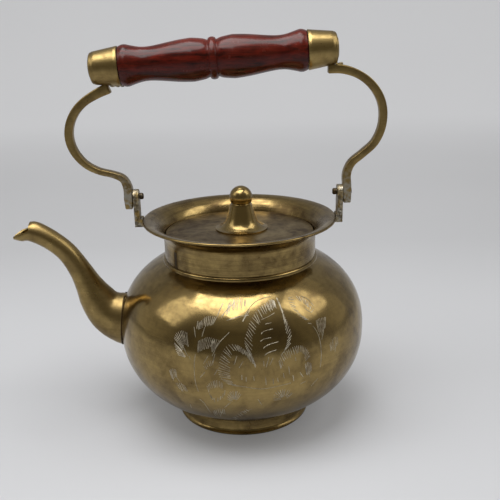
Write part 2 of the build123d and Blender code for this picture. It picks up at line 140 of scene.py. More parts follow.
# The engraver's work, as (degrees round from the front, height in mm). A hatched leaf is cut by
# strokes from one edge to the other, so many to a leaf; a cut line runs from point to point.
HATCHED_LEAVES = [
    # big leaf, left side
    (((1.8, 60.7), (0.9, 64.5), (2.4, 68.9), (4.0, 72.4), (7.9, 76.2), (12.3, 78.1),
      (15.7, 79.1), (17.5, 78.6)),
     ((5.2, 53.6), (3.9, 59.7), (4.8, 65.6), (6.7, 69.5), (9.4, 72.5), (13.1, 74.8),
      (15.8, 75.6), (17.6, 76.0)), 27),
    # big leaf, right side
    (((19.4, 79.4), (20.2, 76.4), (20.5, 72.7), (21.2, 69.5), (21.9, 65.3), (20.3, 61.3)),
     ((19.5, 77.2), (19.6, 73.9), (19.5, 70.3), (19.6, 67.3), (19.6, 63.1), (17.6, 59.0)), 18),
    # curled leaf, left side
    (((-2.3, 62.9), (-5.7, 63.1), (-8.2, 60.5), (-9.4, 57.0), (-10.1, 53.2),
      (-10.2, 49.8), (-9.3, 46.8), (-6.4, 44.3)),
     ((-0.9, 59.6), (-3.4, 60.1), (-5.1, 57.2), (-5.5, 54.4), (-5.4, 51.2), (-5.2, 48.7),
      (-4.9, 45.9), (-2.9, 43.6)), 21),
    # curled leaf, upper right
    (((-1.7, 62.7), (0.6, 61.1), (3.0, 58.4), (4.6, 55.5)),
     ((-0.5, 59.4), (1.7, 57.5), (3.7, 54.6), (5.3, 52.1)), 11),
    # hooked leaf on the right
    (((15.1, 54.3), (16.5, 57.1), (19.6, 58.9), (22.9, 59.9), (26.0, 59.3), (28.5, 57.0),
      (29.5, 53.6)),
     ((15.9, 50.0), (17.9, 53.6), (20.7, 55.2), (23.5, 56.3), (25.7, 55.8), (26.8, 54.0),
      (27.2, 51.7)), 22),
    # upper right leaf
    (((25.6, 78.6), (25.0, 76.6), (26.1, 74.0), (28.1, 71.4), (30.1, 69.6)),
     ((28.8, 78.7), (27.8, 75.4), (28.6, 72.8), (30.3, 70.8), (32.0, 69.4)), 13),
    # upper right leaf, tip
    (((30.7, 78.7), (33.7, 77.7), (35.7, 75.7), (36.9, 72.7)),
     ((31.4, 76.6), (33.4, 75.7), (34.2, 73.8), (34.6, 71.5)), 7),
    # sprig on the right
    (((35.9, 68.3), (37.8, 68.5), (40.0, 68.4), (41.9, 68.1)),
     ((35.3, 63.7), (36.0, 61.9), (37.4, 61.8), (39.4, 63.5)), 8),
    # small sprig on the far right
    (((40.9, 55.9), (42.5, 57.6), (44.6, 58.1), (46.2, 57.5)),
     ((41.3, 51.8), (42.6, 51.8), (44.3, 52.2), (46.1, 53.6)), 7),
    # right sprig, lower
    (((26.9, 50.3), (28.4, 50.9), (29.9, 49.9)),
     ((27.8, 44.9), (29.1, 43.4), (30.3, 45.2)), 6),
    # top leaf
    (((-6.5, 78.7), (-4.0, 80.0), (-0.7, 80.4), (2.5, 79.6)),
     ((-7.5, 74.6), (-4.7, 75.6), (-1.3, 76.5), (1.8, 77.3)), 11),
    # comb under the highlight
    (((-20.0, 70.9), (-18.0, 73.0), (-15.3, 73.9), (-11.8, 73.9)),
     ((-19.7, 68.2), (-17.7, 69.4), (-15.3, 70.2), (-13.5, 70.6)), 11),
    # left feather
    (((-31.0, 63.2), (-30.1, 65.5), (-27.8, 67.0), (-24.9, 66.4)),
     ((-26.0, 58.8), (-25.3, 60.2), (-24.7, 61.0), (-23.5, 61.0)), 10),
    # left feather, lower
    (((-30.4, 61.1), (-29.7, 58.5), (-28.3, 56.0)),
     ((-25.7, 57.9), (-25.2, 56.8), (-24.4, 55.5)), 7),
    # middle feather
    (((-19.1, 63.7), (-16.9, 65.0), (-14.5, 65.8), (-11.8, 65.2)),
     ((-19.2, 58.7), (-17.7, 59.5), (-15.7, 60.6), (-13.4, 61.5)), 11),
    # middle feather, right
    (((-13.5, 64.7), (-11.4, 65.2), (-9.4, 64.5)),
     ((-12.9, 59.5), (-12.2, 60.2), (-11.4, 61.2)), 6),
    # small feather
    (((-16.5, 52.6), (-15.0, 54.7), (-12.8, 55.6)),
     ((-15.5, 51.0), (-14.2, 52.2), (-12.4, 53.5)), 6),
    # lower left feather
    (((-32.9, 47.3), (-31.5, 48.5), (-29.7, 48.4)),
     ((-31.8, 42.5), (-30.8, 42.6), (-29.3, 44.1)), 6),
    # lower left feather, end
    (((-30.2, 41.0), (-28.1, 41.9), (-26.2, 41.0)),
     ((-28.6, 37.4), (-26.9, 37.0), (-25.0, 37.8)), 6),
    # oval fan
    (((-15.5, 42.5), (-13.6, 45.1), (-11.0, 45.9), (-8.5, 44.7)),
     ((-14.9, 39.1), (-12.9, 41.4), (-10.9, 42.1), (-9.1, 41.4)), 10),
    # oval fan, lower
    (((-14.9, 38.5), (-13.0, 35.7), (-9.8, 37.3), (-7.8, 40.9)),
     ((-14.3, 35.9), (-12.9, 33.1), (-10.4, 34.7), (-8.2, 38.0)), 7),
    # fan
    (((-7.3, 35.6), (-6.6, 39.0), (-4.9, 40.5), (-2.8, 40.5), (-1.1, 38.8)),
     ((-5.0, 34.4), (-4.7, 35.4), (-4.1, 35.7), (-3.6, 35.5), (-3.2, 34.8)), 10),
    # fan on the right
    (((13.2, 33.4), (13.0, 37.0), (14.8, 39.0), (17.5, 39.0), (20.1, 37.8), (22.0, 35.7)),
     ((16.7, 33.0), (16.6, 34.0), (17.0, 34.5), (17.7, 34.4), (18.7, 33.9), (19.5, 33.2)), 12),
    # foot scroll, left
    (((-15.1, 26.0), (-12.2, 28.5), (-9.3, 28.5)),
     ((-15.0, 21.0), (-12.4, 22.7), (-9.6, 23.6)), 7),
    # foot scroll, right
    (((-5.9, 21.2), (-2.5, 24.9), (0.9, 28.3)),
     ((-4.6, 18.6), (-1.1, 22.4), (2.3, 26.5)), 8),
]
CUT_LINES = [
    ((10.5, 70.6), (13.5, 70.9)), ((8.2, 66.9), (9.9, 68.0), (13.8, 68.5)),
    ((7.7, 63.9), (9.3, 64.8), (12.5, 65.1)), ((8.7, 60.9), (10.8, 62.1), (15.6, 63.0)),
    ((9.1, 57.7), (11.0, 58.8), (14.2, 59.5)), ((9.1, 72.4), (12.4, 73.2), (15.9, 74.3)),
    ((8.6, 55.2), (8.7, 52.6)), ((10.9, 56.7), (9.6, 52.1)), ((12.6, 56.2), (11.1, 52.8)),
    ((16.1, 56.9), (21.0, 61.6)),
    ((0.5, 72.0), (2.1, 74.9), (4.8, 77.4), (8.9, 79.2), (16.7, 80.2)),
    ((-4.8, 43.7), (0.4, 42.8), (7.5, 41.0), (14.4, 41.5), (20.4, 42.1)),
    ((-2.4, 58.1), (-3.6, 54.0)), ((0.1, 55.6), (-1.6, 52.5)), ((-0.6, 48.9), (-0.6, 46.4)),
    ((1.1, 47.9), (1.2, 45.6)), ((4.2, 48.2), (4.5, 45.8)), ((9.2, 47.2), (9.5, 43.0)),
    ((12.4, 45.9), (12.6, 43.0)), ((14.3, 46.0), (14.7, 43.8)), ((16.9, 47.9), (17.3, 45.2)),
    ((19.3, 51.0), (19.7, 46.8)), ((-11.6, 73.9), (-10.9, 75.9), (-9.7, 78.5)),
    ((-9.8, 73.6), (-6.8, 76.7), (-2.9, 79.1)), ((-7.1, 72.5), (-1.0, 74.0), (3.4, 74.3)),
    ((0.2, 72.2), (4.0, 76.0)), ((-17.7, 65.6), (-16.9, 69.6)), ((-22.0, 69.2), (-20.6, 65.1)),
    ((-20.6, 68.5), (-20.7, 71.6)), ((-12.4, 60.1), (-9.6, 64.1), (-5.6, 68.1)),
    ((-12.6, 54.2), (-11.6, 58.8)), ((-16.5, 53.8), (-14.5, 57.7)), ((-12.8, 57.7), (-11.0, 61.9)),
    ((-26.4, 61.0), (-23.7, 56.3)), ((-23.0, 56.5), (-22.3, 54.7)),
    ((-20.0, 57.7), (-20.5, 55.0), (-20.7, 50.9), (-20.6, 44.3), (-19.7, 38.7)),
    ((-20.0, 33.9), (-18.1, 31.3), (-16.7, 24.1)), ((-26.1, 28.8), (-26.7, 25.4)),
    ((-29.7, 45.0), (-28.0, 42.2)), ((33.3, 78.3), (36.5, 76.5), (37.7, 73.7)),
    ((32.4, 73.7), (34.8, 71.6)), ((32.9, 76.1), (35.3, 73.6)), ((31.1, 68.0), (32.9, 67.4)),
    ((33.3, 66.4), (34.9, 62.8), (35.5, 58.1), (35.5, 51.6), (35.0, 46.2)),
    ((39.2, 64.5), (36.3, 59.3)), ((43.9, 50.8), (45.1, 54.9)), ((22.5, 54.8), (22.6, 52.9)),
    ((24.5, 46.8), (26.1, 43.8)), ((21.2, 46.1), (21.8, 42.7)), ((-16.0, 49.7), (-18.3, 46.6)),
    ((-10.4, 51.7), (-12.1, 48.6)), ((-13.0, 20.3), (-10.2, 27.1)), ((-5.7, 33.7), (-9.0, 29.6)),
    ((3.7, 28.4), (-2.0, 25.8)), ((6.1, 35.2), (8.1, 30.9)), ((24.9, 40.2), (27.8, 41.0)),
    ((31.0, 37.0), (34.2, 40.5)),
]


def from_hex(code):
    """A colour written as sRGB hex, as the linear colour that a shader takes."""
    values = [int(code[i:i + 2], 16) / 255 for i in (0, 2, 4)]
    linear = [v / 12.92 if v <= 0.04045 else ((v + 0.055) / 1.055) ** 2.4 for v in values]
    return (*linear, 1.0)


def length(name, description, size_mm):
    """A length property of the panel, given in millimetres."""
    return bpy.props.FloatProperty(
        name=name, description=description, default=size_mm * MM, min=0.0001,
        unit="LENGTH", precision=4)


def colour(name, description, code):
    """A colour property of the panel, given as sRGB hex."""
    return bpy.props.FloatVectorProperty(
        name=name, description=description, default=from_hex(code), size=4, min=0, max=1,
        subtype="COLOR")


class TeapotSizes(bpy.types.PropertyGroup):
    """Sizes of the teapot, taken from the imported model."""
    bulb_radius: length("Bulb radius", "Widest radius of the round body", BULB_HIGH.x)
    mouth_radius: length("Mouth radius", "Opening at the top of the body", 36.0)
    sheet: length("Sheet", "Thickness of the spun brass", 1.2)
    foot_radius: length("Foot radius", "Radius of the foot ring on the table", FOOT_HIGH.x)
    collar_radius: length("Collar radius", "Outer radius of the neck band", 38.2)
    rim_radius: length("Rim radius", "Outer radius of the flared rim", COLLAR_HIGH.x)
    rim_height: length("Rim height", "Height of the rim above the table", COLLAR_HIGH.z)
    lid_radius: length("Lid radius", "Radius of the sunk lid", LID_HIGH.x)
    knob_height: length("Knob height", "Height of the knob above the lid", 21.6)
    arm_width: length("Arm width", "Width of the handle's bent bars", 5.2)
    stroke: length("Engraved stroke", "Width of one cut of the engraving", 0.5)


class TeapotColours(bpy.types.PropertyGroup):
    """Colours of the teapot's finishes."""
    brass: colour("Brass", "Polished brass that has darkened with age", "A38C5A")
    brown: colour("Tarnish", "Brown tarnish in patches and corners", "52412A")
    bright: colour("Bright cut", "Fresh metal in the engraver's cuts", "C9C2B0")
    solder: colour("Solder", "Grey soft solder", "A6A194")
    wood: colour("Wood stain", "Dark red stain of the grip", "64190D")
    floor: colour("Floor", "Pale paper under the teapot", "B4B5B8")


# ---------------------------------------------------------------- modelling


def sizes():
    """The panel's sizes."""
    return bpy.context.scene.teapot_sizes


def colours():
    """The panel's colours."""
    return bpy.context.scene.teapot_colours


def deselect():
    """Leaves edit mode and lets go of everything."""
    if bpy.context.object and bpy.context.object.mode != "OBJECT":
        leave_edit()
    bpy.ops.object.select_all(action="DESELECT")


def leave_edit():
    """Goes back to object mode."""
    bpy.ops.object.mode_set(mode="OBJECT")


def extrude(shift):
    """Extrudes what is selected, in edit mode, by a shift in metres."""
    bpy.ops.mesh.extrude_region_move(TRANSFORM_OT_translate={"value": shift})


def activate(piece):
    """Makes one piece the only selected one."""
    deselect()
    piece.select_set(True)
    bpy.context.view_layer.objects.active = piece


def select_all():
    """Selects the whole mesh in edit mode."""
    bpy.ops.mesh.select_all(action="SELECT")


def start_edit(name):
    """Names the new primitive and opens it in edit mode with all of it selected."""
    piece = bpy.context.object
    piece.name = piece.data.name = name
    bpy.ops.object.mode_set(mode="EDIT")
    select_all()
    return piece


def start_square(name, size=MM):
    """A new flat square at the origin, in edit mode."""
    deselect()
    bpy.ops.mesh.primitive_plane_add(size=size, location=(0, 0, 0))
    return start_edit(name)


def start_point(name, radius, height):
    """A new piece in edit mode that is one vertex at a radius and height, in millimetres."""
    piece = start_square(name)
    bpy.ops.mesh.select_mode(type="VERT")
    select_all()
    bpy.ops.mesh.merge(type="CENTER")
    bpy.ops.transform.translate(value=(radius * MM, 0, height * MM))
    return piece


def set_section(x, z, tilt, high, wide):
    """Sizes the selected outline of a sweep, tilts it and moves it to its first station."""
    bpy.ops.transform.resize(value=(high, wide, 1), center_override=(0, 0, 0))
    bpy.ops.transform.rotate(
        value=-math.radians(tilt), orient_axis="Y", center_override=(0, 0, 0))
    bpy.ops.transform.translate(value=(x * MM, 0, z * MM))


def round_curve(name, radius, resolution):
    """A new curve that has a round section, with its radius in metres."""
    curve = bpy.data.curves.new(name, "CURVE")
    curve.dimensions = "3D"
    curve.bevel_depth = radius
    curve.bevel_resolution = resolution
    return curve


def mesh_from_curve(name, curve):
    """The smooth mesh that a curve makes."""
    piece = bpy.data.objects.new(name, curve)
    bpy.context.scene.collection.objects.link(piece)
    activate(piece)
    bpy.ops.object.convert(target="MESH")
    piece = bpy.context.object
    smooth_by_angle(piece, 60)
    return piece


def turns(angle, steps, first=0, last=None):
    """The angles from the first step to the last, where all the steps make up the angle."""
    return [angle * i / steps for i in range(first, (steps if last is None else last) + 1)]


def smooth_by_angle(piece, degrees=40):
    """Smooth shading that keeps the sharp edges sharp."""
    activate(piece)
    bpy.ops.object.shade_smooth_by_angle(angle=math.radians(degrees))


def spin_piece(name, profile, steps=128, closed=False, sharp=35):
    """Turns a profile of (radius, height) points, in millimetres, about the Z axis."""
    piece = start_point(name, *profile[0])
    points = profile[1:] + ([profile[0]] if closed else [])
    for before, after in zip(profile, points):
        extrude(((after[0] - before[0]) * MM, 0, (after[1] - before[1]) * MM))
    select_all()
    bpy.ops.mesh.remove_doubles(threshold=1e-6)
    select_all()
    bpy.ops.mesh.spin(steps=steps, angle=FULL_TURN, center=(0, 0, 0), axis=(0, 0, 1))
    select_all()
    bpy.ops.mesh.remove_doubles(threshold=1e-6)
    bpy.ops.mesh.normals_make_consistent(inside=False)
    leave_edit()
    smooth_by_angle(piece, sharp)
    return piece


def place(piece, matrix):
    """Moves a finished mesh to its seat and leaves its object at the origin."""
    activate(piece)
    piece.matrix_world = matrix
    bpy.ops.object.transform_apply(location=True, rotation=True, scale=True)


def apply_modifier(piece, kind, **settings):
    """Adds a modifier and applies it."""
    activate(piece)
    modifier = piece.modifiers.new(kind.title(), kind)
    for key, value in settings.items():
        setattr(modifier, key, value)
    bpy.ops.object.modifier_apply(modifier=modifier.name)


def smooth_line(points, per_span=6):
    """A smooth line through points of any number of values, as a filed template would give."""
    line = []
    last = len(points) - 1
    for i in range(last):
        p0, p1 = points[max(i - 1, 0)], points[i]
        p2, p3 = points[i + 1], points[min(i + 2, last)]
        for k in range(per_span):
            t = k / per_span
            line.append(tuple(
                0.5 * (2 * b + (c - a) * t + (2 * a - 5 * b + 4 * c - d) * t * t
                       + (3 * b - a - 3 * c + d) * t ** 3)
                for a, b, c, d in zip(p0, p1, p2, p3)))
    line.append(points[-1])
    return line


def sweep_along(stations):
    """Extrudes the selected ring, in edit mode, through stations of (x, z, turn, high, wide)."""
    for before, after in zip(stations, stations[1:]):
        shift = ((after[0] - before[0]) * MM, 0, (after[1] - before[1]) * MM)
        centre = (after[0] * MM, 0, after[1] * MM)
        extrude(shift)
        bpy.ops.transform.rotate(
            value=-math.radians(after[2] - before[2]), orient_axis="Y", center_override=centre)
        high, wide = after[3] / before[3], after[4] / before[4]
        bpy.ops.transform.resize(value=(high, wide, high), center_override=centre)


def select_parts(piece, kind, parts, test):
    """Selects the faces or edges that pass the test, and opens edit mode."""
    activate(piece)
    bpy.ops.object.mode_set(mode="EDIT")
    bpy.ops.mesh.select_mode(type=kind)
    bpy.ops.mesh.select_all(action="DESELECT")
    leave_edit()
    for part in getattr(piece.data, parts):
        part.select = test(part)
    bpy.ops.object.mode_set(mode="EDIT")


def bulb_height(radius):
    """Height of the bulb's shoulder at a distance from the axis, in millimetres."""
    share = (radius / BULB_HIGH.x) ** UPPER_FULLNESS
    return BULB_MIDDLE + BULB_RISE * max(1 - share, 0) ** (1 / UPPER_FULLNESS)


def bulb_radius_at(height):
    """Radius of the bulb at a height, in millimetres."""
    up = height > BULB_MIDDLE
    reach, fullness = (BULB_RISE, UPPER_FULLNESS) if up else (BULB_DROP, LOWER_FULLNESS)
    share = min(abs(height - BULB_MIDDLE) / reach, 1) ** fullness
    return BULB_HIGH.x * (1 - share) ** (1 / fullness)


def along(points, share):
    """Point at a share of the way along a line of points."""
    place_on = min(max(share, 0), 1) * (len(points) - 1)
    i = min(int(place_on), len(points) - 2)
    rest = place_on - i
    return tuple(a + (b - a) * rest for a, b in zip(points[i], points[i + 1]))


def on_bulb(angle, height, sink):
    """Point under the bulb's skin at an angle round from the front and a height, in metres."""
    radius = bulb_radius_at(height) - sink
    turn = math.radians(angle)
    return Vector((radius * math.sin(turn), -radius * math.cos(turn), height)) * MM


def finish_piece(piece, body, slot, look, *nodes):
    """Gives a piece its finish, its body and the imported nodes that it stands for."""
    piece.data.materials.clear()
    piece.data.materials.append(finish(look))
    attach(piece, body)
    if nodes:
        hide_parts(*nodes)


# ---------------------------------------------------------------- finishes


def feed(tree, node, inputs):
    """Gives each input of a node a value or a link."""
    for key, value in inputs.items():
        if isinstance(value, bpy.types.NodeSocket):
            tree.links.new(value, node.inputs[key])
        else:
            node.inputs[key].default_value = value


def add_node(tree, kind, settings=None, inputs=None):
    """Adds a node with its settings and its inputs."""
    node = tree.nodes.new(kind)
    for key, value in (settings or {}).items():
        setattr(node, key, value)
    feed(tree, node, inputs or {})
    return node


def new_material(name):
    """An empty material with its Principled shader and the Object coordinates."""
    material = bpy.data.materials.new(name)
    material.use_nodes = True
    tree = material.node_tree
    tree.nodes.clear()
    shader = add_node(tree, "ShaderNodeBsdfPrincipled")
    add_node(tree, "ShaderNodeOutputMaterial", inputs={"Surface": shader.outputs[0]})
    spot = add_node(tree, "ShaderNodeTexCoord").outputs["Object"]
    return material, tree, shader, spot


def noise(tree, spot, grain_mm, detail=3.0, roughness=0.55, distortion=0.0, stretch=(1, 1, 1)):
    """Noise whose patches measure about grain_mm, as a value from 0 to 1."""
    mapped = add_node(tree, "ShaderNodeMapping", inputs={"Vector": spot, "Scale": stretch})
    return add_node(tree, "ShaderNodeTexNoise", inputs={
        "Vector": mapped.outputs[0], "Scale": 1 / (grain_mm * MM), "Detail": detail,
        "Roughness": roughness, "Distortion": distortion}).outputs[0]


def remap(tree, value, low, high, to_low=0.0, to_high=1.0):
    """Stretches a value between two levels, clamped."""
    return add_node(tree, "ShaderNodeMapRange", {"clamp": True}, {
        0: value, 1: low, 2: high, 3: to_low, 4: to_high}).outputs[0]


def blend_colour(tree, factor, first, second):
    """Mix of two colours by a factor."""
    return add_node(tree, "ShaderNodeMix", {"data_type": "RGBA"}, {
        0: factor, 6: first, 7: second}).outputs[2]


def combine(tree, operation, first, second):
    """One Math operation on two values."""
    return add_node(tree, "ShaderNodeMath", {"operation": operation}, {
        0: first, 1: second}).outputs[0]


def bump(tree, height, strength, depth_mm, **inputs):
    """A bump of a depth in millimetres, on top of another where a Normal is given."""
    return add_node(tree, "ShaderNodeBump", inputs={
        "Height": height, "Strength": strength, "Distance": depth_mm * MM, **inputs}).outputs[0]


def tone(name):
    """A colour of the panel, as a shader takes it."""
    return tuple(getattr(colours(), name))


def aged_brass(name, gloss, tarnish, ring_mm, ring_depth_mm, dents, streaks=0.15, smear=None):
    """Aged polished brass: a warm mirror, dulled by patches of brown tarnish and fine rings.

    The eye sees soft reflections that wander a little, brown clouds about 15 mm across,
    small dark specks and hair-fine turning lines.
    """
    material, tree, shader, spot = new_material(name)
    brown = tone("brown")
    clouds = remap(tree, noise(tree, spot, 15, detail=4, distortion=0.6), 0.42, 0.66)
    mottle = remap(tree, noise(tree, spot, 2.6, detail=4, roughness=0.65), 0.35, 0.75)
    # Uneven rings round the Z axis, left by the spinner's tool
    rings = noise(tree, spot, ring_mm, detail=2, roughness=0.7, stretch=(0.02, 0.02, 1.0))
    specks = remap(tree, noise(tree, spot, 1.1, detail=1), 0.74, 0.8)
    dull = combine(tree, "ADD", combine(tree, "MULTIPLY", clouds, 0.7),
                   combine(tree, "MULTIPLY", mottle, 0.4))
    base = blend_colour(tree, combine(tree, "MULTIPLY", dull, tarnish), tone("brass"), brown)
    streak = combine(tree, "MULTIPLY", remap(tree, rings, 0.42, 0.7), streaks)
    base = blend_colour(tree, streak, base, brown)
    base = blend_colour(tree, combine(tree, "MULTIPLY", specks, 0.55), base, from_hex("2E2414"))
    if smear:
        # Solder run over the foot of each bar, fading from 119 to 131 mm above the table
        height = add_node(tree, "ShaderNodeSeparateXYZ", inputs={0: spot}).outputs[2]
        low = remap(tree, height, 131 * MM, 119 * MM)
        run = remap(tree, noise(tree, spot, 2.4, detail=4, distortion=0.7), 0.4, 0.56)
        base = blend_colour(tree, combine(tree, "MULTIPLY", low, run), base, tone(smear))
    rough = combine(tree, "ADD", remap(tree, clouds, 0, 1, gloss, gloss + 0.12),
                    remap(tree, mottle, 0, 1, 0.0, 0.07))
    swell = bump(tree, noise(tree, spot, 11, detail=1), dents, 2)
    feed(tree, shader, {"Base Color": base, "Metallic": 1.0, "Roughness": rough,
                        "Normal": bump(tree, rings, 1.0, ring_depth_mm, Normal=swell)})
    return material


def soldered_metal(name, metal, solder):
    """Brass smeared with soft solder: dull grey over olive, lumpy and stained at a few mm."""
    material, tree, shader, spot = new_material(name)
    smear = remap(tree, noise(tree, spot, 3.2, detail=4, distortion=0.8), 0.38, 0.6)
    stain = remap(tree, noise(tree, spot, 1.4, detail=3), 0.42, 0.62)
    base = blend_colour(tree, smear, metal, solder)
    base = blend_colour(tree, combine(tree, "MULTIPLY", stain, 0.7), base, from_hex("3A2F1E"))
    lumps = noise(tree, spot, 1.6, detail=3, roughness=0.6)
    feed(tree, shader, {"Base Color": base, "Metallic": 0.9,
                        "Roughness": remap(tree, smear, 0, 1, 0.5, 0.34),
                        "Normal": bump(tree, lumps, 0.6, 0.5)})
    return material


def cut_metal(name):
    """Bright-cut engraving: bare metal in each cut, paler and greyer than the skin around it."""
    material, tree, shader, spot = new_material(name)
    glint = remap(tree, noise(tree, spot, 2, detail=2), 0.3, 0.7)
    base = blend_colour(tree, glint, from_hex("7C7467"), tone("bright"))
    feed(tree, shader, {"Base Color": base, "Metallic": 0.75, "Roughness": 0.42})
    return material


def stained_wood(name):
    """Turned hardwood, stained and lacquered: nearly black red with long soft highlights."""
    material, tree, shader, spot = new_material(name)
    grain = noise(tree, spot, 1.6, detail=5, roughness=0.6, distortion=0.4, stretch=(0.06, 1, 1))
    patches = remap(tree, noise(tree, spot, 9, detail=3), 0.4, 0.7)
    base = blend_colour(tree, remap(tree, grain, 0.36, 0.7), from_hex("260704"), tone("wood"))
    base = blend_colour(tree, combine(tree, "MULTIPLY", patches, 0.12), base, from_hex("8C3C28"))
    lines = noise(tree, spot, 0.8, detail=2, roughness=0.7, stretch=(1, 0.03, 0.03))
    feed(tree, shader, {"Base Color": base, "Roughness": remap(tree, patches, 0, 1, 0.2, 0.3),
                        "IOR": 1.3, "Coat Weight": 0.1, "Coat Roughness": 0.07,
                        "Normal": bump(tree, lines, 0.5, 0.05)})
    return material


def plain_steel(name):
    """Plain steel screw and washer: grey, slightly dull, with faint turning marks."""
    material, tree, shader, spot = new_material(name)
    marks = noise(tree, spot, 0.8, detail=2)
    shade = remap(tree, marks, 0.35, 0.7)
    feed(tree, shader, {
        "Base Color": blend_colour(tree, shade, from_hex("8E8A82"), from_hex("B5B1A8")),
        "Metallic": 1.0, "Roughness": remap(tree, marks, 0.3, 0.7, 0.3, 0.45)})
    return material


# Aged brass by look: name, gloss, tarnish, pitch and depth of the rings in mm, dents, streaks
BRASS_LOOKS = {
    "bulb": ("Aged spun brass, bulb", 0.1, 0.75, 1.0, 0.008, 0.12),
    "collar": ("Brushed brass, collar", 0.16, 0.9, 0.7, 0.05, 0.08, 0.5),
    "spout": ("Aged filed brass, spout", 0.26, 0.6, 1.6, 0.03, 0.06),
    "lid": ("Dull scratched brass, lid", 0.3, 1.2, 0.8, 0.03, 0.08, 0.5),
    "knob": ("Turned brass, knob", 0.17, 0.5, 0.6, 0.02, 0.02),
    "bar": ("Filed brass bar, handle", 0.3, 0.7, 0.5, 0.05, 0.06, 0.15, "solder"),
    "ferrule": ("Worn brass, ferrules", 0.28, 0.8, 0.7, 0.03, 0.08),
}
OTHER_LOOKS = {
    "solder": lambda: soldered_metal("Soft-soldered brass", tone("brass"), tone("solder")),
    "pin": lambda: soldered_metal("Darkened brass rivet", tone("brown"), from_hex("5C5446")),
    "seam": lambda: soldered_metal("Dark soldered seam", tone("brown"), from_hex("463518")),
    "cut": lambda: cut_metal("Bright-cut engraving"),
    "wood": lambda: stained_wood("Lacquered stained hardwood"),
    "steel": lambda: plain_steel("Plain steel"),
}
FINISHES = {}


def finish(name):
    """The named finish, made the first time that it is asked for."""
    if name not in FINISHES:
        FINISHES[name] = (aged_brass(*BRASS_LOOKS[name]) if name in BRASS_LOOKS
                          else OTHER_LOOKS[name]())
    return FINISHES[name]


# ---------------------------------------------------------------- pieces


class TEAPOT_OT_bulb(bpy.types.Operator):
    """Spin the round body from sheet and give it its wall"""
    bl_idname = "teapot.bulb"
    bl_label = "Bulb"

    def execute(self, context):
        radius = sizes().bulb_radius / MM
        mouth = sizes().mouth_radius / MM
        steps = 44
        profile = []
        for i in range(steps + 1):
            angle = QUARTER_TURN * (1 - i / steps)
            profile.append((radius * max(math.cos(angle), 0) ** (2 / LOWER_FULLNESS),
                            BULB_MIDDLE - BULB_DROP * math.sin(angle) ** (2 / LOWER_FULLNESS)))
        end = math.acos((mouth / radius) ** (UPPER_FULLNESS / 2))
        for angle in turns(end, steps, 1):
            profile.append((radius * math.cos(angle) ** (2 / UPPER_FULLNESS),
                            BULB_MIDDLE + BULB_RISE * math.sin(angle) ** (2 / UPPER_FULLNESS)))
        piece = spin_piece("spun_bulb", profile, steps=160)
        apply_modifier(piece, "SOLIDIFY", thickness=sizes().sheet, offset=-1)
        smooth_by_angle(piece, 40)
        finish_piece(piece, "pot", "engraved_brass", "bulb", "bulb_upper", "bulb_lower")
        return {"FINISHED"}


class TEAPOT_OT_foot_and_collar(bpy.types.Operator):
    """Spin the foot ring and roll the collar with its lip and flared rim"""
    bl_idname = "teapot.foot_and_collar"
    bl_label = "Foot and collar"

    def execute(self, context):
        sheet = sizes().sheet / MM
        foot = sizes().foot_radius / MM
        top = foot - 1.3
        ring = [(foot - sheet, 0), (foot - 0.6, 0), (foot - 0.15, 0.2), (foot, 0.6), (foot, 1.2),
                (foot - 0.9, 1.9), (top, 2.6), (top, 8.6), (top - sheet, 8.4), (top - sheet, 2.4),
                (foot - sheet, 1.2)]
        piece = spin_piece("foot_band", ring, closed=True)
        finish_piece(piece, "pot", "spun_brass", "collar", "foot_ring")

        wall, rim = sizes().collar_radius / MM, sizes().rim_radius / MM
        rim_z = sizes().rim_height / MM
        bore, lip = wall - sheet, 1.2
        low = bulb_height(wall + lip) - 0.3
        lip_top = low + 0.3 + 1.8
        centre = rim - sheet / 2
        profile = [(bore, low), (wall + lip, low)]
        profile += [(wall + lip * math.cos(a) ** 0.8, low + 0.5 + 1.5 * math.sin(a))
                    for a in turns(QUARTER_TURN, 6)]
        profile += [(wall, lip_top + 1 + (FLARE_Z - lip_top - 1) * i / 4) for i in range(5)]
        under_width, under_height = centre - bore - sheet, rim_z - FLARE_Z - sheet
        profile += [(centre - under_width * math.cos(a), FLARE_Z + under_height * math.sin(a))
                    for a in turns(QUARTER_TURN, 14, 1)]
        profile += [(centre + sheet / 2 * math.sin(a), rim_z - sheet / 2 - sheet / 2 * math.cos(a))
                    for a in turns(math.pi, 6, 1, 5)]
        width, height = centre - bore, rim_z - FLARE_Z
        profile += [(centre - width * math.sin(a), FLARE_Z + height * math.cos(a))
                    for a in turns(QUARTER_TURN, 16)]
        piece = spin_piece("flared_collar", profile, steps=160, closed=True, sharp=50)
        finish_piece(piece, "pot", "spun_brass", "collar", "neck_collar")
        return {"FINISHED"}


